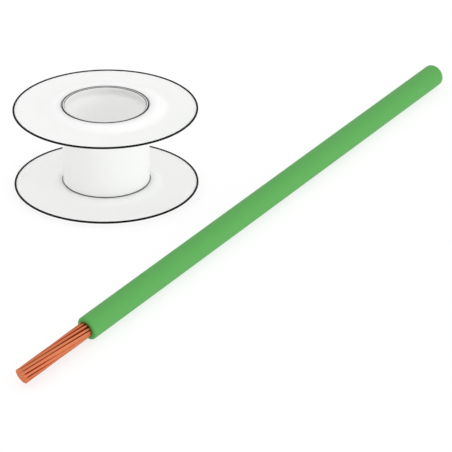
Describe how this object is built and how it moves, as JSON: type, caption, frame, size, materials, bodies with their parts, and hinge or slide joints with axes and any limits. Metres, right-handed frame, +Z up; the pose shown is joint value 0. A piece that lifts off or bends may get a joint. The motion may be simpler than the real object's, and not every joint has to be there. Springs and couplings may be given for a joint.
{
  "type": "wire spool",
  "caption": "Bare wire spool with thin round flanges on an open tube barrel, and a straight cut length of green stranded wire, stripped at one end, lying beside it.",
  "frame": {"origin": "middle of the spool's underside, on the spool's axis, at the level of the surface that it stands on", "axes": "+Z up along the spool's axis. The cut length of wire lies on the same surface, on the +X and -Y side, its axis turned 58.3 degrees from +X towards +Y, stripped end towards -Y"},
  "size_m": [0.2394, 0.3614, 0.0489],
  "materials": {
    "spool_plastic": "white moulded plastic, satin",
    "black_edging": "black, satin",
    "green_sleeve": "green extruded soft plastic, matt",
    "bare_copper": "bare drawn copper, lightly tarnished"
  },
  "bodies": {
    "root": {"barrel_tube": "spool_plastic", "lower_flange": "spool_plastic", "upper_flange": "spool_plastic", "lower_rim_bead": "black_edging", "upper_rim_bead": "black_edging", "sleeve": "green_sleeve", "strand_core": "bare_copper", "strand_inner_1": "bare_copper", "strand_inner_2": "bare_copper", "strand_inner_3": "bare_copper", "strand_inner_4": "bare_copper", "strand_inner_5": "bare_copper", "strand_inner_6": "bare_copper", "strand_outer_1": "bare_copper", "strand_outer_2": "bare_copper", "strand_outer_3": "bare_copper", "strand_outer_4": "bare_copper", "strand_outer_5": "bare_copper", "strand_outer_6": "bare_copper", "strand_outer_7": "bare_copper", "strand_outer_8": "bare_copper", "strand_outer_9": "bare_copper", "strand_outer_10": "bare_copper", "strand_outer_11": "bare_copper", "strand_outer_12": "bare_copper"}
  },
  "joints": []
}
